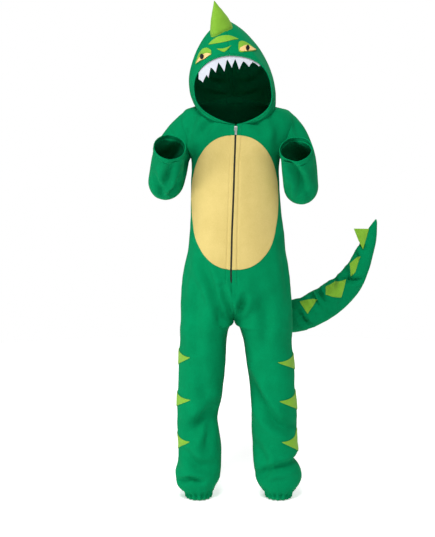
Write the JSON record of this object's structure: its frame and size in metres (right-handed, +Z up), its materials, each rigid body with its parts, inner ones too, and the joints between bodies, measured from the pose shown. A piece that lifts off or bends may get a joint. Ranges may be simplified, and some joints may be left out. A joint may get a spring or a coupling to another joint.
{
  "type": "dinosaur_costume",
  "caption": "Child's dinosaur costume as worn: hooded one-piece suit with open front zip, belly oval, felt spots, horn, toothed hood edge and a stuffed, upturned tail.",
  "frame": {"origin": "inside the neck at shoulder level, where the wearer's shoulders hold the suit up", "axes": "+Z up along the standing wearer, +X to the viewer's right, the front faces -Y"},
  "size_m": [0.5598, 0.4015, 1.1847],
  "materials": {
    "green_velour": "soft brushed velour",
    "lime_felt": "flat felt",
    "sand_velour": "soft brushed velour",
    "white_felt": "flat felt",
    "cream_felt": "flat felt",
    "black_felt": "flat felt",
    "black_tape": "woven tape",
    "black_coil": "moulded nylon coil",
    "zip_metal": "plated, dull"
  },
  "bodies": {
    "suit": {"front_left": "green_velour", "front_right": "green_velour", "back_left": "green_velour", "back_right": "green_velour", "sleeve_left": "green_velour", "sleeve_right": "green_velour", "hood_left": "green_velour", "hood_right": "green_velour", "tail": "green_velour", "ankle_casing_left": "green_velour", "ankle_casing_right": "green_velour", "brow_spot": "lime_felt", "nose_spot": "lime_felt", "eyelid_left": "lime_felt", "eyelid_right": "lime_felt", "horn": "lime_felt", "leg_spot_left_1_front": "lime_felt", "leg_spot_left_1_back": "lime_felt", "leg_spot_left_2_front": "lime_felt", "leg_spot_left_2_back": "lime_felt", "leg_spot_left_3_front": "lime_felt", "leg_spot_left_3_back": "lime_felt", "leg_spot_right_1_front": "lime_felt", "leg_spot_right_1_back": "lime_felt", "leg_spot_right_2_front": "lime_felt", "leg_spot_right_2_back": "lime_felt", "leg_spot_right_3_front": "lime_felt", "leg_spot_right_3_back": "lime_felt", "tail_spike_1": "lime_felt", "tail_spike_2": "lime_felt", "tail_spike_3": "lime_felt", "tail_spike_4": "lime_felt", "belly_left": "sand_velour", "belly_right": "sand_velour", "teeth": "white_felt", "eyeball_left": "cream_felt", "eyeball_right": "cream_felt", "pupil_left": "black_felt", "pupil_right": "black_felt", "zip_tape_left": "black_tape", "zip_tape_right": "black_tape", "zip_coil": "black_coil", "zip_slider": "zip_metal"},
    "pull": {"zip_pull": "zip_metal"}
  },
  "joints": [
    {"name": "zip_pull_hinge", "type": "hinge", "parent": "suit", "child": "pull", "pos_m": [0.00272, -0.09022, -0.044], "axis": [1, 0, 0], "range_deg": [-110, 0]}
  ]
}
